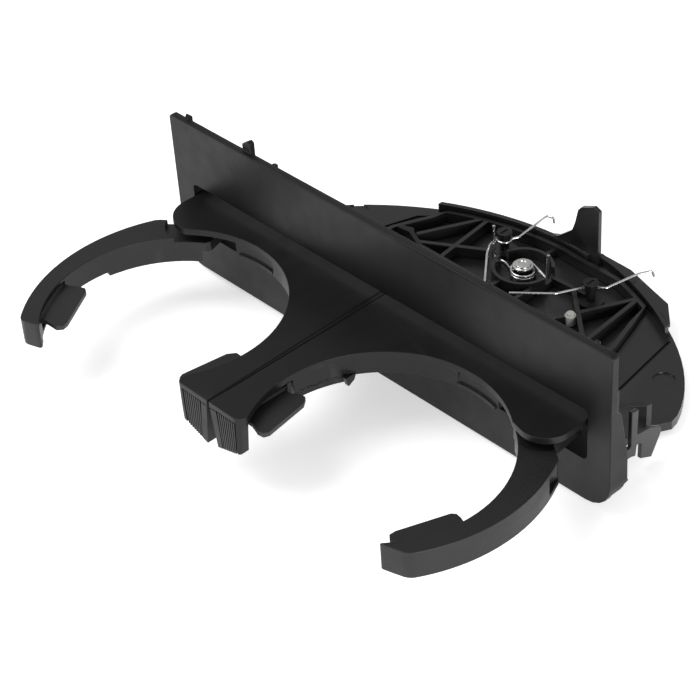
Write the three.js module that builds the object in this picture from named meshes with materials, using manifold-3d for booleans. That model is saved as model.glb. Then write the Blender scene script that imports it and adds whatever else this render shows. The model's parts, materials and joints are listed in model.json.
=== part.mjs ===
// Slide-out double cup holder insert: a slotted fascia, a D-shaped tray with its
// spring mechanism, and two slides whose arms and flaps close round a cup.
// Millimetres, +Z up, +Y into the opening, +X to the right seen from the front.
// The design is drawn with the fascia's front face at y = 0 and the slides' top
// at z = 0, and the whole assembly is then shifted so that the origin lies on
// the fascia's rear face, in the middle of its upper band.
import * as THREE from 'three';
import { mergeVertices } from 'three/addons/utils/BufferGeometryUtils.js';
import Module from 'manifold-3d';

const wasm = await Module();
wasm.setup();

// ---------------------------------------------------------------- dimensions
const GAP = 0.3;                       // clearance between touching pieces

const FASCIA = { half: 94, top: 26.9, bottom: -29.2, thick: 2.6, corner: 9, lip: 1.2 };
const SLOT = { half: 85.3, top: 3.8, bottom: -14.1, corner: 1.4 };
const SEAT_Z = 15;                     // height of the seating point on the rear face

const CUP = { x: 46.8, y: -44.1, r: 38 };
const PLATE = { thick: 2.2, skirt: -8, front: -66.5, rear: 19.5, side: 84.4 };
const SEAM = { front: 0.4, rear: 1.6 };
const BLOCK = { side: 13.9, depth: 3.4, toe: 2.4, groove: 3.3 };

const PIVOT = { x: 75.5, y: 2, pin: 1.5, boss: 5, floor: -9.2 };
const ARM = { top: -4, bottom: -13.2, ox: 38.3, oy: -38.4, ri: 39, wall: 2 };
const TONGUE_FLAP = { x: 7, z: -5, y0: -61.2, y1: -44.6, thick: 1.6, pin: 0.8 };
const ARM_FLAP = { z: -7.1, set: 2, thick: 1.6, pin: 0.8 };
// What differs between the hands: the arm's outer radius, the angles at which its
// outer and inner walls end, the flap's two ends and width, the plate's tip and the front block.
const HAND = {
  left: {
    ro: 55.1, reach: -45.4, end: -53.4, flap: [-14, -47, 7.8], step: [10.4, 1.6],
    tip: { x: 74.1, y: -5.2, r: 10.3 }, block: { inner: -17.3, outer: -13.7, corner: 1.6 },
  },
  right: {
    ro: 54.6, reach: -33.7, end: -44.4, flap: [-3.6, -36.4, 6], step: [8.8, 0.4],
    tip: { x: 76.2, y: -7, r: 8.3 }, block: { inner: -16.1, outer: -13.3, corner: 3 },
  },
};

const TRAY = { top: -26, bottom: -29.2, half: 84.5, y0: 34, depth: 55.4, left: 1.56, right: 1.8 };
const BAY = { floor: -28, ribs: -24, wall: -22.5, rib: 1.5 };
const REAR_WALL = { left: 3.6, right: 0.4, thick: 1.6, from: -46, turn: 11.5, to: 55, power: 1.77 };
const CAP = { r: 2.7, left: [-15.2, 72.4], right: [24.6, 70.3] };
const LATCH_STOP = [27.4, 57.6];
const COIL = { x: -0.5, y: 65.6, r: 3.9, wire: 0.5 };
const WIRE_Z = -20.9;                  // height of the eject springs' legs

// ---------------------------------------------------------------- materials
const blackPlastic = { color: 0x2b2b2c, roughness: 0.55, metalness: 0 };
const softPlastic = { color: 0x2f2f30, roughness: 0.7, metalness: 0 };
const nylon = { color: 0x8c8a84, roughness: 0.5, metalness: 0 };
const springSteel = { color: 0xc9cacc, roughness: 0.25, metalness: 1 };

// ---------------------------------------------------------------- solids
function toSolid(geometry) {
  const bare = geometry.clone();
  bare.deleteAttribute('normal');
  bare.deleteAttribute('uv');
  const merged = mergeVertices(bare, 1e-4);
  return new wasm.Manifold(new wasm.Mesh({
    numProp: 3,
    vertProperties: new Float32Array(merged.attributes.position.array),
    triVerts: new Uint32Array(merged.index.array),
  }));
}

function toGeometry(solid) {
  const mesh = solid.getMesh();
  const geometry = new THREE.BufferGeometry();
  geometry.setAttribute('position', new THREE.BufferAttribute(mesh.vertProperties, 3));
  geometry.setIndex(new THREE.BufferAttribute(mesh.triVerts, 1));
  geometry.computeVertexNormals();
  return geometry;
}

function join(...solids) {
  return solids.reduce((sum, next) => sum.add(next));
}

function cut(body, ...tools) {
  return tools.reduce((rest, tool) => rest.subtract(tool), body);
}

function box(x0, x1, y0, y1, z0, z1) {
  const geometry = new THREE.BoxGeometry(x1 - x0, y1 - y0, z1 - z0);
  geometry.translate((x0 + x1) / 2, (y0 + y1) / 2, (z0 + z1) / 2);
  return toSolid(geometry);
}

function column(x, y, r, z0, z1, sides = 24) {
  const geometry = new THREE.CylinderGeometry(r, r, z1 - z0, sides);
  geometry.rotateX(Math.PI / 2);
  geometry.translate(x, y, (z0 + z1) / 2);
  return toSolid(geometry);
}

// A flat outline in X and Y, raised from z0 to z1.
function prism(points, z0, z1) {
  const shape = new THREE.Shape(points.map(([x, y]) => new THREE.Vector2(x, y)));
  const geometry = new THREE.ExtrudeGeometry(shape, { depth: z1 - z0, bevelEnabled: false });
  geometry.translate(0, 0, z0);
  return toSolid(geometry);
}

// A flat outline in Y and Z, from x0 to x1.
function sidePrism(points, x0, x1) {
  const shape = new THREE.Shape(points.map(([y, z]) => new THREE.Vector2(y, z)));
  const geometry = new THREE.ExtrudeGeometry(shape, { depth: x1 - x0, bevelEnabled: false });
  geometry.applyMatrix4(new THREE.Matrix4().set(0, 0, 1, x0, 1, 0, 0, 0, 0, 1, 0, 0, 0, 0, 0, 1));
  return toSolid(geometry);
}

// A flat outline in X and Z, from y0 to y1.
function frontPrism(points, y0, y1) {
  const shape = new THREE.Shape(points.map(([x, z]) => new THREE.Vector2(x, z)));
  const geometry = new THREE.ExtrudeGeometry(shape, { depth: y1 - y0, bevelEnabled: false });
  geometry.rotateX(Math.PI / 2);
  geometry.translate(0, y1, 0);
  return toSolid(geometry);
}

// A straight wall of the given thickness between two points of the plan.
function wall([ax, ay], [bx, by], thick, z0, z1) {
  const length = Math.hypot(bx - ax, by - ay);
  const geometry = new THREE.BoxGeometry(length, thick, z1 - z0);
  geometry.rotateZ(Math.atan2(by - ay, bx - ax));
  geometry.translate((ax + bx) / 2, (ay + by) / 2, (z0 + z1) / 2);
  return toSolid(geometry);
}

// A round wire along a path of points, with its corners eased.
function wire(points, radius, ease = 1.2, steps = 30, sides = 6) {
  const path = new THREE.CurvePath();
  const stops = points.map((p) => new THREE.Vector3(...p));
  let from = stops[0];
  for (let i = 1; i < stops.length - 1; i += 1) {
    const before = stops[i].clone().add(from.clone().sub(stops[i]).setLength(ease));
    const after = stops[i].clone().add(stops[i + 1].clone().sub(stops[i]).setLength(ease));
    path.add(new THREE.LineCurve3(from, before));
    path.add(new THREE.QuadraticBezierCurve3(before, stops[i], after));
    from = after;
  }
  path.add(new THREE.LineCurve3(from, stops[stops.length - 1]));
  return sweep(path, radius, steps, sides);
}

function sweep(path, radius, steps, sides = 6) {
  const ring = polar(0, 0, radius, 0, 360, sides + 1).slice(0, -1);
  const shape = new THREE.Shape(ring.map(([x, y]) => new THREE.Vector2(x, y)));
  const geometry = new THREE.ExtrudeGeometry(shape, { steps, extrudePath: path, bevelEnabled: false });
  return toSolid(geometry);
}

// Points on a circle from one angle to another, in degrees.
function polar(cx, cy, r, from, to, count) {
  return Array.from({ length: count }, (_, i) => {
    const a = THREE.MathUtils.degToRad(from + ((to - from) * i) / (count - 1));
    return [cx + r * Math.cos(a), cy + r * Math.sin(a)];
  });
}

function ringSector(cx, cy, r0, r1, from, to, z0, z1, count = 20) {
  const outer = polar(cx, cy, r1, from, to, count);
  const inner = polar(cx, cy, r0, to, from, count);
  return prism([...outer, ...inner], z0, z1);
}

function roundedRect(x0, x1, z0, z1, lower, upper, count = 6) {
  return [
    ...polar(x1 - lower, z0 + lower, lower, -90, 0, count),
    ...polar(x1 - upper, z1 - upper, upper, 0, 90, count),
    ...polar(x0 + upper, z1 - upper, upper, 90, 180, count),
    ...polar(x0 + lower, z0 + lower, lower, 180, 270, count),
  ];
}

// The same solid on the other side of the middle plane.
function mirrored(geometry) {
  const copy = geometry.clone();
  copy.scale(-1, 1, 1);
  const index = copy.index.array;
  for (let i = 0; i < index.length; i += 3) {
    [index[i + 1], index[i + 2]] = [index[i + 2], index[i + 1]];
  }
  copy.computeVertexNormals();
  return copy;
}

// ---------------------------------------------------------------- fascia
function fasciaPanel() {
  const { half, top, bottom, thick, corner, lip } = FASCIA;
  const plate = frontPrism(roundedRect(-half, half, bottom, top, corner, lip), 0, thick);
  const slot = frontPrism(
    roundedRect(-SLOT.half, SLOT.half, SLOT.bottom, SLOT.top, SLOT.corner, SLOT.corner, 4),
    -1, thick + 1,
  );
  const flangeSide = [
    [1, 8], [4.4, 5], [5.8, -2], [7.6, -12], [7.8, -20.6], [8.6, -22], [6.8, -22.6],
    [6.3, -24.5], [1, -24.5],
  ].reverse();
  const flangeLimit = frontPrism(
    roundedRect(-half, half, bottom, top + 5, corner, 1, 6), 0.5, 12,
  );
  const flanges = [-1, 1].map((side) => {
    const x = side * (half - 1);
    return sidePrism(flangeSide, x - 1, x + 1).intersect(flangeLimit);
  });
  const cheeks = [-1, 1].map((side) => {
    const x = side * (SLOT.half + 0.7);
    return box(x - 0.7, x + 0.7, 2, 12, SLOT.bottom - 1.4, SLOT.top + 1.4);
  });
  const shelf = cut(
    box(-SLOT.half - 1.4, SLOT.half + 1.4, 2, 12, SLOT.bottom - 1.4, SLOT.bottom),
    box(-1.6, 1.6, 6.5, 13, SLOT.bottom - 2, SLOT.bottom + 1),
  );
  const hookTab = sidePrism(
    [[1, top - 4], [3.8, top - 4], [3.8, top + 0.4], [2.4, top + 1.6], [1, top - 1]], -88, -86.4,
  );
  const latchTab = frontPrism(
    [[-60.2, top - 4], [-56.2, top - 4], [-56.2, top + 3.2], [-57.4, top + 3.8], [-60.2, top + 2]],
    2, 4,
  );
  const nubs = [-45.5, 45.5, 86].map((x) => box(x - 0.8, x + 0.8, 2, 3.4, top - 3, top + 0.3));
  const upperRib = box(-SLOT.half, SLOT.half, 2, 4.2, SLOT.top + 2.2, SLOT.top + 3.6);
  const body = join(plate, ...flanges, ...cheeks, shelf, hookTab, latchTab, ...nubs, upperRib);
  return cut(body, slot);
}

// ---------------------------------------------------------------- tray
// A rounded-D curve from the right side round the rear to the left side.
function rearCurve(inset, left, right) {
  const { half, y0, depth } = TRAY;
  const steps = 44;
  return Array.from({ length: steps + 1 }, (_, i) => {
    const a = (Math.PI * i) / steps;
    const power = 2 / (a < Math.PI / 2 ? right : left);
    const c = Math.cos(a);
    const x = (half - inset) * Math.sign(c) * Math.abs(c) ** power;
    return [x, y0 + (depth - inset) * Math.sin(a) ** power];
  });
}

function trayOutline() {
  const yFront = FASCIA.thick + GAP;
  const arc = rearCurve(0, TRAY.left, TRAY.right).filter(([, y]) => y > TRAY.y0 + 7.5);
  return [
    [78, yFront], [78.2, 29.5], [79.8, 34.6], [81.4, 37.6], [83, 40.6],
    ...arc, [-83.4, 36], [-83.4, yFront],
  ];
}

// A stretch of the bay's rear line between two widths.
function rearLine(from, to, inset) {
  const { power } = REAR_WALL;
  const steps = 14;
  return Array.from({ length: steps + 1 }, (_, i) => {
    const x = from + ((to - from) * i) / steps;
    const reach = (Math.abs(x) / (TRAY.half - inset)) ** power;
    return [x, TRAY.y0 + (TRAY.depth - inset) * (1 - reach) ** (1 / power)];
  });
}

// The wall stands further back on the right of the tall tab, so the bay's line
// runs straight from one curve to the other.
function bayOutline(inset) {
  const { left, right, thick } = REAR_WALL;
  const gap = thick + GAP + inset;
  return [
    [51 - inset, 37 + inset], [49.4 - inset, 54], [45.6 - inset, 67],
    ...rearLine(42, 26, right + gap),
    ...rearLine(8, -42, left + gap),
    [-44.8 + inset, 67], [-50.6 + inset, 54], [-51.6 + inset, 37 + inset],
  ];
}

function housingTray() {
  const { top, bottom } = TRAY;
  const plate = prism(trayOutline(), bottom, top);
  const bay = prism(bayOutline(0), BAY.floor, top + 1);
  const dishes = [[-67.5, 55], [68.5, 54.2]].map(([x, y]) => column(x, y, 3.6, top - 0.5, top + 1));
  const groove = wall([62, 40], [57.6, 70], 1, top - 0.8, top + 1);
  const ledge = prism([[-54, 54], [-50, 54], [-44, 67], [-44.4, 71], [-50, 66]], top - 0.9, top + 1);
  const trayBody = cut(plate, bay, ...dishes, groove, ledge);
  const towers = [-1, 1].map((side) => {
    const at = (x, y) => [side * x, y];
    const outer = wall(at(70, 18.6), at(81.4, 30.3), 1.4, top - 1, -14.2);
    const inner = wall(at(81.3, 30), at(81.7, 31.8), 1.4, top - 1, -14.2);
    return join(outer, inner);
  });
  const { left, right, thick, from, turn, to } = REAR_WALL;
  const rearWalls = [[from, turn, left], [turn + 2.7, to, right]].map(([a, b, set]) => prism(
    [...rearLine(a, b, set + thick), ...rearLine(b, a, set)], top - 1, BAY.wall,
  ));
  const lip = prism(
    [[14, 85.6], [14, 87.4], [27.2, 86.9], [38, 83.6], [47.7, 80.8], [54.9, 73.2], [53.4, 71.8], [49.6, 75.6],
      [37.5, 80.2], [23.8, 84.4]].reverse(),
    BAY.wall - 1.4, BAY.wall,
  );
  const tallTab = frontPrism(
    [[-6.8, top - 1], [15.2, top - 1], [15.2, -4.6], [12.9, -3.6], [7.6, -5.9], [6.3, -7.5], [5.1, -12.7],
      [3.8, -16.5], [-2.3, -21.6], [-6.8, -23.4]].reverse(),
    84.4, 86,
  );
  const screwHoles = SCREWS.map(([x, y]) => column(x, y, 1.5, bottom - 1, top + 1, 12));
  return cut(join(trayBody, ...towers, ...rearWalls, lip, tallTab), ...screwHoles);
}

const SCREWS = [[-45, 43.5], [45, 43.5], [-17, 43.5], [24, 43.5]];

function trayScrew([x, y]) {
  const head = column(x, y, 2.6, TRAY.bottom - 1.4, TRAY.bottom - GAP, 16);
  const shank = column(x, y, 1.2, TRAY.bottom - 1, BAY.floor + 2.2, 10);
  const cross = [0, Math.PI / 2].map((turn) => {
    const geometry = new THREE.BoxGeometry(2.8, 0.7, 1.2);
    geometry.rotateZ(turn);
    geometry.translate(x, y, TRAY.bottom - 1.4);
    return toSolid(geometry);
  });
  return cut(join(head, shank), ...cross);
}

function centreGuide() {
  const rail = box(-1.1, 1.1, 7, 23, -13.6, -2.7);
  const web = box(-0.9, 0.9, 7, 29, TRAY.top + GAP, -13.6);
  const foot = box(-5, 5, 5, 31, TRAY.top + GAP, TRAY.top + 2);
  return cut(join(rail, web, foot), box(-3, 3, 4, 32, TRAY.top, TRAY.top + GAP));
}

// ---------------------------------------------------------------- mechanism
const LEFT_RIBS = [
  [[-28.5, 80.6], [-40.4, 56.4]], [[-28.5, 80.6], [-25.1, 51.5]], [[-38, 53], [-16.2, 65.7]],
];
const RIGHT_RIBS = [
  [[37.6, 78.6], [24.2, 51.4]], [[37.6, 78.6], [39.8, 51.7]], [[19, 68.5], [38.5, 51]],
];

function mechanismFrame() {
  const z0 = BAY.floor + GAP;
  const border = cut(prism(bayOutline(GAP), z0, BAY.ribs), prism(bayOutline(2), z0 - 1, BAY.ribs + 1));
  const ribs = [...LEFT_RIBS, ...RIGHT_RIBS].map(([a, b]) => wall(a, b, BAY.rib, z0, BAY.ribs));
  const front = wall([-50, 39], [49, 39], 1.6, z0, BAY.ribs);
  const middle = wall([8.6, 60], [8.6, 39], 1.5, z0, BAY.ribs);
  const stay = wall([-2, 57], [-2, 52], 1.5, z0, BAY.ribs);
  const rearStay = wall([-2, 75.4], [-2, 84.4], 1.5, z0, BAY.ribs - 1.6);
  const cross = wall([-38, 52.5], [40, 51], 1.5, z0, BAY.ribs);
  const ring = cut(
    column(COIL.x, COIL.y, 10.4, z0, BAY.ribs + 1.2, 48),
    column(COIL.x, COIL.y, 9.2, z0 - 1, BAY.ribs + 3, 48),
    box(-20, -6, 64.8, 68.2, BAY.floor + 1, 0),
    box(3, 12, 65, 71.4, BAY.floor + 2.4, 0),
  );
  const hub = column(COIL.x, COIL.y, 2.4, z0, -23.4, 20);
  const hubFloor = column(COIL.x, COIL.y, 9.6, z0, z0 + 0.8, 40);
  const posts = [CAP.left, CAP.right].map(([x, y]) => column(x, y, 1.6, z0, -22.3, 16));
  const bosses = SCREWS.map(([x, y]) => join(
    column(x, y, 3, z0, BAY.ribs, 18),
    wall([x, y], [x, 39], 1.5, z0, BAY.ribs),
  ));
  const body = join(border, ...ribs, front, middle, stay, rearStay, cross, ring, hub, hubFloor, ...posts,
    ...bosses, postPad(CAP.left), postPad(CAP.right));
  const stopHole = column(...LATCH_STOP, 1.9 + GAP, z0 - 1, 0, 16);
  const holes = SCREWS.map(([x, y]) => column(x, y, 1.5, z0 - 1, BAY.floor + 2.6, 12));
  const outside = cut(box(-90, 90, 30, 95, -40, 0), prism(bayOutline(GAP), -41, 1));
  return cut(body, ...holes, stopHole, outside);
}

function postPad([x, y]) {
  const side = Math.sign(x);
  return join(
    column(x, y, 4.4, BAY.floor + GAP, BAY.floor + 1.4, 20),
    wall([x, y], [COIL.x + side * 9.2, COIL.y + 4], 1.5, BAY.floor + GAP, BAY.ribs - 1),
  );
}

// An eight-sided cap that keeps an eject spring on its post.
function springCap([x, y]) {
  const cap = column(x, y, CAP.r, -21.9, -19.6, 8);
  const slit = box(x - 0.4, x + 0.4, y - 1.8, y + 1.8, -20.2, -19);
  return cut(cap, slit);
}

// Two legs and an open loop round the post, in one run of wire.
function leftEjectSpring() {
  const [x, y] = CAP.left;
  const loop = polar(x, y, 2.5, 40, -160, 8).map(([px, py]) => [px, py, -22.6]);
  const points = [
    [-9.4, 90.4, -22.8], [-9.6, 90.4, WIRE_Z], [-12.1, 89.8, WIRE_Z], [x + 3.2, y + 3.6, -22.4],
    ...loop, [-15.4, 65.6, -21.8], [-12.6, 61.4, -21.6], [-1.6, 48.8, -21.4], [-0.6, 48.2, -23.4],
  ];
  return wire(points, 0.42, 0.5, 64);
}

function rightEjectSpring() {
  const [x, y] = CAP.right;
  const loop = polar(x, y, 2.5, 60, 200, 7).map(([px, py]) => [px, py, -22.6]);
  const points = [
    [35.4, 88.6, -22.2], [34, 89.2, WIRE_Z], [31.8, 85, WIRE_Z], [x + 3.4, y + 3.6, -22.4],
    ...loop, [18.8, 60.4, -21.8], [7.8, 50.2, -21.4],
  ];
  return wire(points, 0.42, 0.5, 60);
}

// The middle spring's coil, with both legs turned up at their ends.
function centreSpring() {
  const { x, y, r, wire: w } = COIL;
  const z = -26.3;
  const turns = Array.from({ length: 29 }, (_, i) => {
    const a = THREE.MathUtils.degToRad(200 - i * 30);
    return [x + r * Math.cos(a), y + r * Math.sin(a), z + (i / 28) * 2.4];
  });
  const last = turns[turns.length - 1];
  const points = [
    [-14.2, 66.4, -13.9], [-14.2, 66.4, z], [-9, 66.6, z], ...turns,
    [last[0] + 4.4, last[1] - 1.6, -23.6], [9.2, 66.6, -24.2], [9.6, 66.8, -14.6],
  ];
  return wire(points, w, 0.6, 110);
}

function centreRivet() {
  const { x, y } = COIL;
  return cut(
    join(column(x, y, 3.5, -23.1, -22.4, 28), column(x, y, 2.7, -22.4, -21.8, 28)),
    column(x, y, 1.5, -22.2, -21, 20),
  );
}

// A bent latch blade that stands in the bay, and its nylon stop.
function latchBlade() {
  const outline = [
    [-45.7, 53.8], [-40.7, 55.6], [-39.3, 54.2], [-30.3, 50], [-30.9, 48.6], [-40.3, 52.8], [-45.3, 52.4],
  ];
  return prism(outline, BAY.ribs + GAP, -21.4);
}

function latchStop() {
  const post = column(...LATCH_STOP, 1.9, BAY.floor + GAP, -24.2, 16);
  const head = column(...LATCH_STOP, 1.3, -24.2, -23.4, 16);
  return join(post, head);
}

function sideClip() {
  const outline = [
    [2.9, -19.6], [17.2, -19.2], [17.2, -6.2], [20.1, -6.8], [19.9, -15.8], [26, -16.8], [30.6, -19.6],
    [30.7, -21.4], [26.6, -28.6], [21.6, -26.2], [21.8, -20.9], [21.2, -19.8], [19.8, -20], [19.4, -23.8],
    [17.2, -23], [2.9, -22.6],
  ].reverse();
  return sidePrism(outline, 85.7, 87.1);
}

// ---------------------------------------------------------------- slide
function slideOutline({ tip, block }) {
  const { front, rear, side } = PLATE;
  const slope = (SEAM.rear - SEAM.front) / (0 - front);
  const arc = polar(CUP.x, CUP.y, CUP.r, 209, 52.5, 44);
  return [
    [SEAM.rear, rear], [SEAM.rear, 0], [SEAM.front + slope * 4, front + 4], [SEAM.front, front],
    ...polar(BLOCK.side - block.corner, front + block.corner, block.corner, -90, 0, 6),
    ...arc,
    ...polar(tip.x, tip.y, tip.r, -104, 0, 14),
    [side, 5],
    [66, rear],
  ];
}

function slidePlate(hand) {
  const { thick, skirt, front, rear } = PLATE;
  const outline = slideOutline(hand);
  const roof = prism(outline, -thick, 0);
  const { inner, outer } = hand.block;
  const { x, y, r } = CUP;
  const skirtWall = ringSector(x, y, r + 0.4, r + 2, 99, 176, skirt, -thick + 0.5, 26);
  const deepSkirt = ringSector(x, y, r + 0.4, r + 2, 149, 176, skirt - 2, skirt + 0.5, 12);
  const windowWall = ringSector(x, y, r + 1, r + 2.4, 74, 99, skirt + 1.2, -thick + 0.5, 10);
  const windowLip = ringSector(x, y, r + 0.3, r + 2.4, 76, 99, skirt, skirt + 1.2, 10);
  const tooth = sidePrism(
    [[-27, skirt + 1], [-22.6, skirt + 1], [-23.6, skirt - 1.2], [-26, skirt - 2.4]], 13.6, 15.2,
  );
  const innerWall = box(2.4, 4, -61, rear, skirt, -thick + 0.5);
  const rearWall = box(2.4, 64, rear - 1.6, rear, skirt + 2, -thick + 0.5);
  const braces = [[10, 0, 14], [26, 2, 12], [42, 2, 12], [57, 2, 12]].map(
    ([bx, by, length]) => box(bx, bx + 1.4, by, by + length + 5, skirt + 2.5, -thick + 0.5),
  );
  const crossRib = wall([3, -12], [15, -20], 1.4, skirt + 2, -thick + 0.5);
  const seamLedge = prism(
    [[SEAM.rear + 1, rear - 1], [SEAM.front + 1, front + 0.8], [0.15, front + 0.8], [0.15, rear - 1]],
    -thick, -0.4,
  );
  const block = frontPrism(
    [[SEAM.front, -0.5], [BLOCK.toe, inner], [BLOCK.side - 1.4, outer], [BLOCK.side, -0.5]],
    front + 0.02, front + BLOCK.depth,
  );
  const blockCorner = prism(outline, inner - 1, 1);
  const padPocket = frontPrism(
    [[BLOCK.groove, -1.8], [BLOCK.groove + 1.5, -18], [11.2, -18], [11.8, -1.8]], front - 1, front + 1.9,
  );
  const ears = [-62, -43.2].map((ey) => box(5.4, 8.8, ey - 0.7, ey + 0.7, -7.4, -thick + 0.5));
  const pivotBoss = column(PIVOT.x, PIVOT.y, 4, ARM.top + GAP, -thick + 0.5);
  const pinHole = column(PIVOT.x, PIVOT.y, PIVOT.pin + GAP, -20, -thick - 0.2, 16);
  const solid = join(
    roof, seamLedge, skirtWall, deepSkirt, windowWall, windowLip, tooth, innerWall, rearWall, ...braces,
    crossRib, block.intersect(blockCorner), ...ears, pivotBoss,
  );
  const flapPinHoles = rodAlongY(TONGUE_FLAP.x, TONGUE_FLAP.z, TONGUE_FLAP.pin + GAP, -63.5, -42);
  return cut(solid, padPocket, pinHole, flapPinHoles);
}

function rodAlongY(x, z, r, y0, y1, sides = 12) {
  const geometry = new THREE.CylinderGeometry(r, r, y1 - y0, sides);
  geometry.translate(x, (y0 + y1) / 2, z);
  return toSolid(geometry);
}

// The ribbed push face let into the front of each slide, down to the block's toe.
function pushPad({ block }) {
  const y0 = PLATE.front;
  const { toe, groove, side } = BLOCK;
  const slope = (block.outer - block.inner) / (side - 1.4 - toe);
  const foot = (x) => block.inner + (x - toe) * slope;
  const face = [[groove + 0.3, -2.1], [groove + 1.7, foot(groove + 1.7)], [10.7, foot(10.7)], [11.5, -2.1]];
  const base = frontPrism(face, y0 + 0.7, y0 + 1.9 - GAP);
  const ribs = Array.from({ length: 8 }, (_, i) => {
    const x = 4 + i * 0.96;
    const low = x + 0.9 - i * 0.19;
    return frontPrism([[x, -2], [low, -20], [low + 0.5, -20], [x + 0.5, -2]], y0 + 0.05, y0 + 0.9);
  });
  const window = frontPrism(face, y0, y0 + 2);
  return join(base, ...ribs.map((rib) => rib.intersect(window)));
}

function pivotPin() {
  return column(PIVOT.x, PIVOT.y, PIVOT.pin, PIVOT.floor - 0.6, -PLATE.thick - 0.5, 16);
}

// ---------------------------------------------------------------- arm
// A corner eased between its two neighbours.
function soften(before, corner, after, reach) {
  const [a, c, b] = [before, corner, after].map(([x, y]) => new THREE.Vector2(x, y));
  const start = c.clone().add(a.sub(c).setLength(reach));
  const end = c.clone().add(b.sub(c).setLength(reach));
  return new THREE.QuadraticBezierCurve(start, c, end).getPoints(5).map(({ x, y }) => [x, y]);
}

function armOutline({ ro, reach, end }) {
  const { ox, oy, ri } = ARM;
  const outer = polar(ox, oy, ro, 25, reach, 25);
  const inner = polar(CUP.x, CUP.y, ri, end, 58, 29);
  const tip = [outer[outer.length - 1], inner[0]];
  return [
    ...polar(PIVOT.x, PIVOT.y, PIVOT.boss, 175, -10, 12),
    [81.6, -9.4],
    [87.2, -13.8],
    ...outer.slice(0, -1),
    ...soften(outer[outer.length - 2], tip[0], tip[1], 2),
    ...soften(tip[0], tip[1], inner[1], 2),
    ...inner.slice(1),
    [66.9, -9.4],
  ];
}

// The chord across the arm's inner face that its flap hangs from.
function flapFrame({ flap: [near, far] }) {
  const [a, b] = polar(CUP.x, CUP.y, ARM.ri, near, far, 2);
  const length = Math.hypot(b[0] - a[0], b[1] - a[1]);
  const along = [(b[0] - a[0]) / length, (b[1] - a[1]) / length];
  const inward = [along[1], -along[0]];
  const point = (u, v) => [a[0] + along[0] * u + inward[0] * v, a[1] + along[1] * u + inward[1] * v];
  return { point, length, along };
}

function arm(hand) {
  const { top, bottom, wall: w } = ARM;
  const body = prism(armOutline(hand), bottom, top);
  const hollow = prism(
    [...polar(ARM.ox, ARM.oy, hand.ro - w, 12, hand.reach + 4, 20),
      ...polar(CUP.x, CUP.y, ARM.ri + w, hand.end + 6, 26, 20)],
    bottom - 1, top - w,
  );
  const { point, length } = flapFrame(hand);
  const window = prism(
    [point(1.4, -5), point(length - 1.4, -5), point(length - 1.4, 4), point(1.4, 4)],
    ARM_FLAP.z - 3.4, ARM_FLAP.z + 2,
  );
  const innerHem = ringSector(
    CUP.x, CUP.y, ARM.ri - 1, ARM.ri + w + 0.2, hand.end + 6, hand.flap[0] + 24, bottom - 1, bottom + 1.5,
  );
  const rootFloor = box(60, 95, -11.8, 10, bottom - 1, PIVOT.floor);
  const pinHole = column(PIVOT.x, PIVOT.y, PIVOT.pin + GAP, bottom - 1, top + 1, 16);
  const springPocket = column(PIVOT.x, PIVOT.y, 4, bottom - 1, -6.6, 20);
  const [stepRadius, stepDepth] = hand.step;
  const rootStep = ringSector(76, -7.2, 0, stepRadius, -180, 0, top - stepDepth, top + 1, 20);
  const notch = box(86.2, 93.6, -20.2, -13.2, -11.6, -4.9);
  return cut(body, hollow, window, innerHem, rootFloor, pinHole, springPocket, rootStep, notch);
}

function armSpring() {
  const turns = Array.from({ length: 40 }, (_, i) => {
    const a = THREE.MathUtils.degToRad(i * 18);
    return [PIVOT.x + 2.9 * Math.cos(a), PIVOT.y + 2.9 * Math.sin(a), -9.1 + (i / 39) * 2];
  });
  return wire(turns, 0.4, 0.3, 40, 5);
}

// ---------------------------------------------------------------- flaps
function tongueFlap() {
  const { x, z, thick, pin, y0, y1 } = TONGUE_FLAP;
  const outline = [
    [x, y0], [12.8, y0], [16.6, -62.4], [18.7, -62.1], [19.4, -60.4], [17.1, -45.2], [15.3, -42.8],
    [13.4, -42.8], [11, -44.6], [x, y1],
  ];
  const blade = prism(outline, z - thick / 2, z + thick / 2);
  const barrel = rodAlongY(x, z, pin + 1, y0, y1);
  return cut(join(blade, barrel), rodAlongY(x, z, pin + 0.25, y0 - 1, y1 + 1));
}

function tongueFlapPin() {
  return rodAlongY(TONGUE_FLAP.x, TONGUE_FLAP.z, TONGUE_FLAP.pin, -62.6, -42.6);
}

function flapRod(hand, radius, u0, u1) {
  const { point, along } = flapFrame(hand);
  const [x, y] = point((u0 + u1) / 2, -ARM_FLAP.set);
  const geometry = new THREE.CylinderGeometry(radius, radius, u1 - u0, 12);
  geometry.rotateZ(Math.atan2(along[1], along[0]) - Math.PI / 2);
  geometry.translate(x, y, ARM_FLAP.z);
  return toSolid(geometry);
}

function armFlap(hand) {
  const { z, thick, set, pin } = ARM_FLAP;
  const width = hand.flap[2];
  const { point, length } = flapFrame(hand);
  const end = length - 1.8;
  const outline = [
    point(1.8, -set), point(end, -set), point(end, 1), point(length + 0.6, width - 2.4),
    point(length - 0.2, width - 0.4), point(length - 2.2, width + 0.2), point(3.6, width - 0.2),
    point(2.2, width - 1), point(1.8, width - 3),
  ].reverse();
  const blade = prism(outline, z - thick / 2, z + thick / 2);
  const barrel = flapRod(hand, pin + 0.9, 1.8, end);
  return cut(join(blade, barrel), flapRod(hand, pin + 0.25, 0, length + 1));
}

function armFlapPin(hand) {
  const { length } = flapFrame(hand);
  return flapRod(hand, ARM_FLAP.pin, 1.6, length - 1.6);
}

// ---------------------------------------------------------------- assembly
const assembly = new THREE.Group();
assembly.position.set(0, -FASCIA.thick, -SEAT_Z);

function place(name, geometry, look) {
  const mesh = new THREE.Mesh(geometry, new THREE.MeshStandardMaterial(look));
  mesh.name = name;
  assembly.add(mesh);
}

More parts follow.
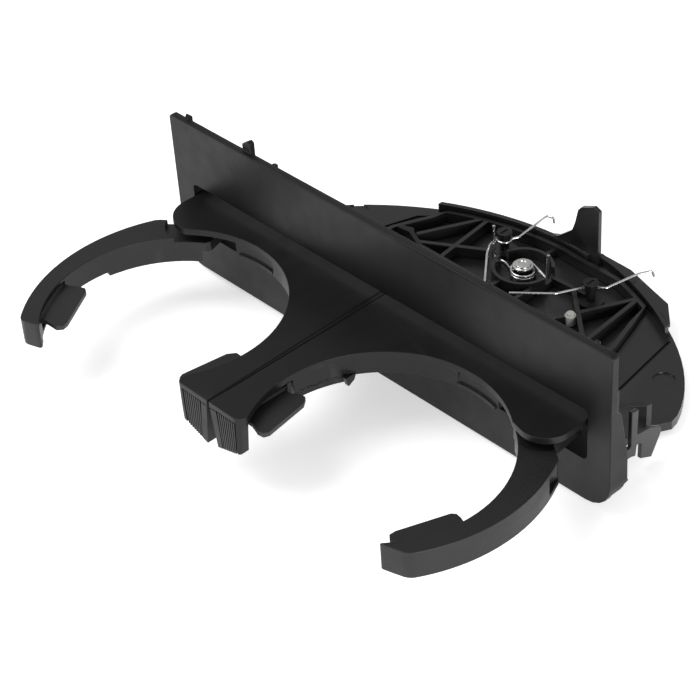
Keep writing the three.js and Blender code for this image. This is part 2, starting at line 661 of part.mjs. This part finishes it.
// Both hands of a piece, made by one function of what differs between them.
function placePair(name, make, look) {
  place(`right_${name}`, toGeometry(make(HAND.right)), look);
  place(`left_${name}`, mirrored(toGeometry(make(HAND.left))), look);
}

place('fascia_panel', toGeometry(fasciaPanel()), blackPlastic);
place('housing_tray', toGeometry(housingTray()), blackPlastic);
place('mechanism_frame', toGeometry(mechanismFrame()), blackPlastic);
place('centre_guide', toGeometry(centreGuide()), blackPlastic);
SCREWS.forEach((spot, i) => place(`tray_screw_${i + 1}`, toGeometry(trayScrew(spot)), springSteel));
place('left_spring_cap', toGeometry(springCap(CAP.left)), blackPlastic);
place('right_spring_cap', toGeometry(springCap(CAP.right)), blackPlastic);
place('left_eject_spring', toGeometry(leftEjectSpring()), springSteel);
place('right_eject_spring', toGeometry(rightEjectSpring()), springSteel);
place('centre_spring', toGeometry(centreSpring()), springSteel);
place('centre_rivet', toGeometry(centreRivet()), springSteel);
place('latch_blade', toGeometry(latchBlade()), blackPlastic);
place('latch_stop', toGeometry(latchStop()), nylon);
placePair('side_clip', sideClip, blackPlastic);
placePair('slide', slidePlate, blackPlastic);
placePair('push_pad', pushPad, softPlastic);
placePair('arm', arm, blackPlastic);
placePair('pivot_pin', pivotPin, springSteel);
placePair('arm_spring', armSpring, springSteel);
placePair('tongue_flap', tongueFlap, softPlastic);
placePair('tongue_flap_pin', tongueFlapPin, springSteel);
placePair('arm_flap', armFlap, softPlastic);
placePair('arm_flap_pin', armFlapPin, springSteel);

const part = new THREE.Group();
part.add(assembly);

export default part;
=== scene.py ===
import json
import math

import bmesh
import bpy
from mathutils import Matrix, Vector
from mathutils.bvhtree import BVHTree

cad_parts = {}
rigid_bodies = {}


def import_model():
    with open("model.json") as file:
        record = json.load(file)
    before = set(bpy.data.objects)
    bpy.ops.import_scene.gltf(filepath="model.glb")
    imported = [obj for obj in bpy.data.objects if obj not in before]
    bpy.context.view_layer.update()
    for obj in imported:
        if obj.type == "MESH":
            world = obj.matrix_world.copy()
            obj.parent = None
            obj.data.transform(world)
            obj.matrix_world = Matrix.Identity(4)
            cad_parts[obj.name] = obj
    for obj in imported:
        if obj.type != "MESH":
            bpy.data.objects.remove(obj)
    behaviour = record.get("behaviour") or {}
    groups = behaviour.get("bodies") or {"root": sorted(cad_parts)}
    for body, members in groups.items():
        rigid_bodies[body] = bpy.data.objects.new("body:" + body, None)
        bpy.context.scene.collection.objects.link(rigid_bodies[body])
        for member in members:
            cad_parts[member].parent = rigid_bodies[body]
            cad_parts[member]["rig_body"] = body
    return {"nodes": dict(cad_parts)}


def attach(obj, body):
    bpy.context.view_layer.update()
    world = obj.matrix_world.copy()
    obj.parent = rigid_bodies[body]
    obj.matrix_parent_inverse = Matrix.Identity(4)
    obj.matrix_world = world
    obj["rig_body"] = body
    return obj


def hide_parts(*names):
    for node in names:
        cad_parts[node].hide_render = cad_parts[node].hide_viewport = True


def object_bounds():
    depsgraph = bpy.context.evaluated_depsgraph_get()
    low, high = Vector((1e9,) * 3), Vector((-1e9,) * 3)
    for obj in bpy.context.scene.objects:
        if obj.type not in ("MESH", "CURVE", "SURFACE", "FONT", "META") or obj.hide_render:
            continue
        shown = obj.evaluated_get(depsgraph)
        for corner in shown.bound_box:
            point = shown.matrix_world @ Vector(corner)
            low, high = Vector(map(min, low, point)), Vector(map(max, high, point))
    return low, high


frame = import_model()
cad_low, cad_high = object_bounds()

# ------------------------------------------------------------------ dimensions
# Points are written as in the CAD source, in millimetres from the fascia's
# front face (y) and the top of the slides (z), and go through at().
FASCIA_THICK = 2.6
SEAT_Z = 15.0
CAP_LEFT = (-15.2, 72.4)
CAP_RIGHT = (24.6, 70.3)
COIL = (-0.5, 65.6)
PIVOT = (75.5, 2.0)
WIRE_Z = -20.9
EJECT_WIRE = 0.42                        # wire radii
COIL_WIRE = 0.5
ARM_WIRE = 0.4

# Camera, floor and light.
CAMERA_TURN = (49.28, 37.78, -4.107)     # degrees of azimuth, elevation and roll
CAMERA_PLACE = (0.3810, -0.3420, 0.3615) # metres
CAMERA_LENS = 107.85                     # mm
CAMERA_SENSOR = 36                       # mm wide
SKY_STRENGTH = 0.5
FLOOR_HALF = 3.0                         # metres
FLOOR_GAP = 0.0004                       # metres, so that the floor clears the lowest face
FLOOR_GLOW = 0.5

# Plastic.
DEEP_BLACK = (0.005, 0.005, 0.0052)
EDGE_RUB = 3.0                           # how much paler a worn edge is
WORN_EDGE = (0.53, 0.6)                  # pointiness where wear starts and is full

# How rounding is done and judged. Lengths are in metres and areas in square metres.
TRIES = ((1, True), (1, False), (0.6, True), (0.6, False), (0.35, False))
KEEP_SHARE = 0.5                         # a new try must get under this share of the kept one
MERGE_DISTANCE = 3e-6
FLAT_ANGLE = math.radians(0.5)           # faces closer to flat than this are merged
SMOOTH_ANGLE = math.radians(38)          # edges sharper than this stay hard
CLEAN_AREA = 2e-8                        # stray faces that still count as clean
TINY_FACE = 1e-11                        # too small to judge
STRAY_SHARE = 0.9                        # of the rounding's width, how far off the skin is stray
FLIPPED = -0.2                           # cosine below which a face points the wrong way


def at(x, y, z):
    return Vector((x / 1000, (y - FASCIA_THICK) / 1000, (z - SEAT_Z) / 1000))


# ------------------------------------------------------------------ camera
def make_camera():
    data = bpy.data.cameras.new("camera")
    camera = bpy.data.objects.new("camera", data)
    bpy.context.scene.collection.objects.link(camera)
    azimuth, elevation, roll = (math.radians(v) for v in CAMERA_TURN)
    back = Vector((
        math.sin(azimuth) * math.cos(elevation),
        -math.cos(azimuth) * math.cos(elevation),
        math.sin(elevation),
    ))
    right = Vector((math.cos(azimuth), math.sin(azimuth), 0))
    down = back.cross(right) * -1
    turned_right = right * math.cos(roll) - down * math.sin(roll)
    turned_down = right * math.sin(roll) + down * math.cos(roll)
    rotation = Matrix((turned_right, -turned_down, back)).transposed()
    camera.matrix_world = Matrix.Translation(Vector(CAMERA_PLACE)) @ rotation.to_4x4()
    data.sensor_width = CAMERA_SENSOR
    data.lens = CAMERA_LENS
    data.clip_start = 0.01
    data.clip_end = 20
    bpy.context.scene.camera = camera


# ------------------------------------------------------------------ light and floor
def area_light(name, place, aim, size, watts):
    data = bpy.data.lights.new(name, "AREA")
    data.shape = "DISK"
    data.size = size
    data.energy = watts
    light = bpy.data.objects.new(name, data)
    bpy.context.scene.collection.objects.link(light)
    light.location = place
    light.rotation_mode = "QUATERNION"
    light.rotation_quaternion = (Vector(aim) - Vector(place)).to_track_quat("-Z", "Y")


def make_studio():
    world = bpy.data.worlds.new("studio")
    bpy.context.scene.world = world
    world.use_nodes = True
    background = world.node_tree.nodes["Background"]
    background.inputs["Color"].default_value = (1, 1, 1, 1)
    background.inputs["Strength"].default_value = SKY_STRENGTH
    area_light("key", place=(-0.5, -0.5, 1.1), aim=(0, 0, 0), size=0.9, watts=9)
    area_light(
        "right_fill", place=(1.0, -0.35, 0.12), aim=(0.05, -0.05, -0.02), size=0.5, watts=10,
    )
    scene = bpy.context.scene
    scene.view_settings.view_transform = "Standard"
    scene.view_settings.look = "None"


def make_floor():
    mesh = bpy.data.meshes.new("floor")
    half = FLOOR_HALF
    level = cad_low.z - FLOOR_GAP
    mesh.from_pydata(
        [(-half, -half, level), (half, -half, level), (half, half, level), (-half, half, level)],
        [], [(0, 1, 2, 3)],
    )
    floor = bpy.data.objects.new("floor", mesh)
    bpy.context.scene.collection.objects.link(floor)
    material = bpy.data.materials.new("floor")
    material.use_nodes = True
    shader = material.node_tree.nodes["Principled BSDF"]
    shader.inputs["Base Color"].default_value = (0.9, 0.9, 0.9, 1)
    shader.inputs["Roughness"].default_value = 0.9
    shader.inputs["Specular IOR Level"].default_value = 0.0
    shader.inputs["Emission Color"].default_value = (1, 1, 1, 1)
    shader.inputs["Emission Strength"].default_value = FLOOR_GLOW
    mesh.materials.append(material)


# ------------------------------------------------------------------ materials
def new_material(name):
    material = bpy.data.materials.new(name)
    material.use_nodes = True
    tree = material.node_tree
    return material, tree, tree.nodes["Principled BSDF"]


def noise(tree, scale, detail=3.0, stretch=(1, 1, 1)):
    where = tree.nodes.new("ShaderNodeTexCoord")
    mapping = tree.nodes.new("ShaderNodeMapping")
    mapping.inputs["Scale"].default_value = stretch
    texture = tree.nodes.new("ShaderNodeTexNoise")
    texture.inputs["Scale"].default_value = scale
    texture.inputs["Detail"].default_value = detail
    tree.links.new(where.outputs["Object"], mapping.inputs["Vector"])
    tree.links.new(mapping.outputs["Vector"], texture.inputs["Vector"])
    return texture.outputs["Fac"]


def spread(tree, value, low, high, start=0.3, end=0.7):
    node = tree.nodes.new("ShaderNodeMapRange")
    node.inputs["From Min"].default_value = start
    node.inputs["From Max"].default_value = end
    node.inputs["To Min"].default_value = low
    node.inputs["To Max"].default_value = high
    tree.links.new(value, node.inputs["Value"])
    return node.outputs["Result"]


def bump(tree, value, strength, depth, after=None):
    node = tree.nodes.new("ShaderNodeBump")
    node.inputs["Strength"].default_value = strength
    node.inputs["Distance"].default_value = depth
    tree.links.new(value, node.inputs["Height"])
    if after is not None:
        tree.links.new(after, node.inputs["Normal"])
    return node.outputs["Normal"]


def blended(tree, factor, first, second):
    node = tree.nodes.new("ShaderNodeMix")
    node.data_type = "RGBA"
    for socket, value in ((node.inputs[6], first), (node.inputs[7], second)):
        if isinstance(value, bpy.types.NodeSocket):
            tree.links.new(value, socket)
        else:
            socket.default_value = (*value, 1)
    tree.links.new(factor, node.inputs[0])
    return node.outputs[2]


def moulded_plastic(name, tone, roughness, gloss, grain):
    """Black injection-moulded plastic: fine grain, faint flow marks and edges rubbed paler."""
    material, tree, shader = new_material(name)
    dark = tuple(c * 0.82 for c in tone)
    pale = tuple(c * 1.22 for c in tone)
    body = blended(tree, spread(tree, noise(tree, 55, 4), 0, 1), dark, pale)
    edge = tree.nodes.new("ShaderNodeNewGeometry").outputs["Pointiness"]
    worn = tuple(c * EDGE_RUB for c in tone)
    colour = blended(tree, spread(tree, edge, 0, 0.8, *WORN_EDGE), body, worn)
    tree.links.new(colour, shader.inputs["Base Color"])
    flow = noise(tree, 160, 2, (1, 0.4, 1))
    tree.links.new(spread(tree, flow, roughness - 0.05, roughness + 0.07), shader.inputs["Roughness"])
    coarse = bump(tree, noise(tree, 900, 2), grain * 0.5, 0.00016)
    fine = bump(tree, noise(tree, 2600, 2), grain, 0.00003, coarse)
    tree.links.new(fine, shader.inputs["Normal"])
    shader.inputs["Specular IOR Level"].default_value = gloss
    return material


def drawn_steel(name, tone, roughness):
    """Bright drawn wire or turned steel, with fine lines and a little tarnish."""
    material, tree, shader = new_material(name)
    shader.inputs["Metallic"].default_value = 1.0
    tarnish = spread(tree, noise(tree, 240, 3), 0, 1)
    tree.links.new(blended(tree, tarnish, tone, tuple(c * 0.72 for c in tone)), shader.inputs["Base Color"])
    lines = noise(tree, 1500, 2, (1, 1, 4))
    tree.links.new(spread(tree, lines, roughness - 0.05, roughness + 0.1), shader.inputs["Roughness"])
    tree.links.new(bump(tree, lines, 0.12, 0.00002), shader.inputs["Normal"])
    return material


def nylon(name, tone):
    material, tree, shader = new_material(name)
    cloud = spread(tree, noise(tree, 300, 3), 0, 1)
    tree.links.new(blended(tree, cloud, tone, tuple(c * 0.8 for c in tone)), shader.inputs["Base Color"])
    tree.links.new(spread(tree, noise(tree, 500, 2), 0.38, 0.5), shader.inputs["Roughness"])
    tree.links.new(bump(tree, noise(tree, 1800, 2), 0.1, 0.00003), shader.inputs["Normal"])
    return material


# ------------------------------------------------------------------ refined pieces
def link_mesh(name, bm, material):
    mesh = bpy.data.meshes.new(name)
    bm.to_mesh(mesh)
    bm.free()
    mesh.materials.append(material)
    piece = bpy.data.objects.new(name, mesh)
    bpy.context.scene.collection.objects.link(piece)
    return piece


def stand_for(piece, node):
    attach(piece, frame["nodes"][node]["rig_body"])
    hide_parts(node)


def bevelled(source, width, steps, corner, merge):
    """A copy of a mesh with its sharp edges rounded inwards."""
    bm = bmesh.new()
    bm.from_mesh(source)
    bmesh.ops.remove_doubles(bm, verts=bm.verts, dist=MERGE_DISTANCE)
    if merge:
        bmesh.ops.dissolve_limit(
            bm, angle_limit=FLAT_ANGLE, verts=bm.verts, edges=bm.edges, delimit=set(),
        )
    sharp = [e for e in bm.edges if e.is_manifold and e.calc_face_angle(0) > math.radians(corner)]
    bmesh.ops.bevel(
        bm, geom=sharp, offset=width, offset_type="OFFSET", segments=steps, profile=0.5,
        affect="EDGES", clamp_overlap=False, loop_slide=True,
    )
    return bm


def stray_area(bm, skin, width):
    """How much of a rounded mesh lies off its source surface or faces the wrong way."""
    total = 0.0
    for loops in bm.calc_loop_triangles():
        a, b, c = (loop.vert.co for loop in loops)
        cross = (b - a).cross(c - a)
        area = cross.length / 2
        if area < TINY_FACE:
            continue
        middle = (a + b + c) / 3
        place, normal, _, _ = skin.find_nearest(middle)
        off = (place - middle).length > width * STRAY_SHARE
        if off or cross.normalized().dot(normal) < FLIPPED:
            total += area
    return total


def rounded(node, width, material, steps=3, corner=32, merge=True):
    """The CAD node's shape with rounded edges.

    Each try in TRIES gives a share of the width and whether nearly flat faces may be
    merged first. They stop at the first clean one. A try replaces the one kept so far
    only if it gets the stray area under KEEP_SHARE of what it was.
    """
    source = frame["nodes"][node].data
    plain = bmesh.new()
    plain.from_mesh(source)
    skin = BVHTree.FromBMesh(plain)
    plain.free()
    best = None
    for share, may_merge in TRIES:
        bm = bevelled(source, width * share, steps, corner, merge and may_merge)
        stray = stray_area(bm, skin, width * share)
        if best is None or stray < best[0] * KEEP_SHARE:
            if best is not None:
                best[1].free()
            best = (stray, bm)
        else:
            bm.free()
        if stray < CLEAN_AREA:
            break
    bm = best[1]
    for face in bm.faces:
        face.smooth = True
    for edge in bm.edges:
        edge.smooth = not (edge.is_manifold and edge.calc_face_angle(0) > SMOOTH_ANGLE)
    piece = link_mesh(f"{node}_detail", bm, material)
    weighted = piece.modifiers.new("weighted", "WEIGHTED_NORMAL")
    weighted.keep_sharp = True
    stand_for(piece, node)
    return piece


# ------------------------------------------------------------------ wires
def eased(points, ease, steps=5):
    """A path of straight runs with each corner rounded off."""
    stops = [Vector(p) for p in points]
    path = [stops[0]]
    for before, corner, after in zip(stops, stops[1:], stops[2:]):
        reach = min(ease, (corner - before).length / 2, (after - corner).length / 2)
        start = corner + (before - corner).normalized() * reach
        end = corner + (after - corner).normalized() * reach
        for i in range(steps + 1):
            t = i / steps
            path.append(start * (1 - t) ** 2 + corner * 2 * t * (1 - t) + end * t * t)
    path.append(stops[-1])
    return path


def wire(node, points, radius, ease, material):
    """A round wire as a curve with a full round section, in place of the CAD wire."""
    data = bpy.data.curves.new(f"{node}_detail", "CURVE")
    data.dimensions = "3D"
    data.bevel_depth = radius / 1000
    data.bevel_resolution = 5
    data.use_fill_caps = True
    spline = data.splines.new("POLY")
    path = eased(points, ease)
    spline.points.add(len(path) - 1)
    for point, place in zip(spline.points, path):
        point.co = (*at(*place), 1)
    data.materials.append(material)
    piece = bpy.data.objects.new(f"{node}_detail", data)
    bpy.context.scene.collection.objects.link(piece)
    stand_for(piece, node)


def loop(cx, cy, radius, start, end, z0, z1, count):
    turns = []
    for i in range(count):
        share = i / (count - 1)
        a = math.radians(start + (end - start) * share)
        turns.append((cx + radius * math.cos(a), cy + radius * math.sin(a), z0 + (z1 - z0) * share))
    return turns


def make_springs(steel):
    x, y = CAP_LEFT
    wire("left_eject_spring", [
        (-9.4, 90.4, -22.8), (-9.6, 90.4, WIRE_Z), (-12.1, 89.8, WIRE_Z), (x + 3.2, y + 3.6, -22.4),
        *loop(x, y, 2.5, 40, -160, -22.6, -22.6, 16),
        (-15.4, 65.6, -21.8), (-12.6, 61.4, -21.6), (-1.6, 48.8, -21.4), (-0.6, 48.2, -23.4),
    ], EJECT_WIRE, 0.7, steel)
    x, y = CAP_RIGHT
    wire("right_eject_spring", [
        (35.4, 88.6, -22.2), (34, 89.2, WIRE_Z), (31.8, 85, WIRE_Z), (x + 3.4, y + 3.6, -22.4),
        *loop(x, y, 2.5, 60, 200, -22.6, -22.6, 14), (18.8, 60.4, -21.8), (7.8, 50.2, -21.4),
    ], EJECT_WIRE, 0.7, steel)
    x, y = COIL
    turns = loop(x, y, 3.9, 200, -640, -26.3, -23.9, 96)
    end = turns[-1]
    wire("centre_spring", [
        (-14.2, 66.4, -13.9), (-14.2, 66.4, -26.3), (-9, 66.6, -26.3), *turns,
        (end[0] + 4.4, end[1] - 1.6, -23.6), (9.2, 66.6, -24.2), (9.6, 66.8, -14.6),
    ], COIL_WIRE, 0.9, steel)
    for side, sign in (("right", 1), ("left", -1)):
        coil = [(sign * px, py, pz) for px, py, pz in loop(*PIVOT, 2.9, 0, 702, -9.1, -7.1, 80)]
        wire(f"{side}_arm_spring", coil, ARM_WIRE, 0.2, steel)


# ------------------------------------------------------------------ build
def build():
    panel = moulded_plastic("panel_black", DEEP_BLACK, roughness=0.4, gloss=0.24, grain=0.2)
    plastic = moulded_plastic("moulded_black", DEEP_BLACK, roughness=0.4, gloss=0.29, grain=0.2)
    stippled = moulded_plastic(
        "stippled_black", (0.008, 0.008, 0.0083), roughness=0.4, gloss=0.38, grain=1.0,
    )
    grained = moulded_plastic(
        "grained_black", (0.0085, 0.0085, 0.0087), roughness=0.44, gloss=0.42, grain=0.4,
    )
    smooth = moulded_plastic(
        "smooth_black", (0.008, 0.008, 0.0082), roughness=0.3, gloss=0.5, grain=0.1,
    )
    steel = drawn_steel("drawn_steel", (0.8, 0.8, 0.79), roughness=0.2)
    white = nylon("undyed_nylon", (0.42, 0.41, 0.38))
    make_springs(steel)
    rounded("fascia_panel", 0.0005, panel)
    rounded("housing_tray", 0.0003, smooth, merge=False)
    rounded("mechanism_frame", 0.0002, smooth, 2)
    rounded("centre_guide", 0.0002, smooth, 2)
    rounded("latch_blade", 0.0002, plastic, 2)
    rounded("latch_stop", 0.0003, white)
    rounded("centre_rivet", 0.0002, steel)
    for number in range(1, 5):
        rounded(f"tray_screw_{number}", 0.00012, steel, 2)
    for side in ("left", "right"):
        rounded(f"{side}_spring_cap", 0.0004, plastic)
        rounded(f"{side}_side_clip", 0.0003, smooth)
        rounded(f"{side}_slide", 0.0004, plastic)
        rounded(f"{side}_push_pad", 0.00015, grained, 2)
        rounded(f"{side}_arm", 0.0006, stippled)
        rounded(f"{side}_pivot_pin", 0.0002, steel, 2)
        rounded(f"{side}_tongue_flap", 0.0003, grained)
        rounded(f"{side}_tongue_flap_pin", 0.0002, steel, 2)
        rounded(f"{side}_arm_flap", 0.0003, grained)
        rounded(f"{side}_arm_flap_pin", 0.0002, steel, 2)


make_camera()
make_studio()
make_floor()
build()
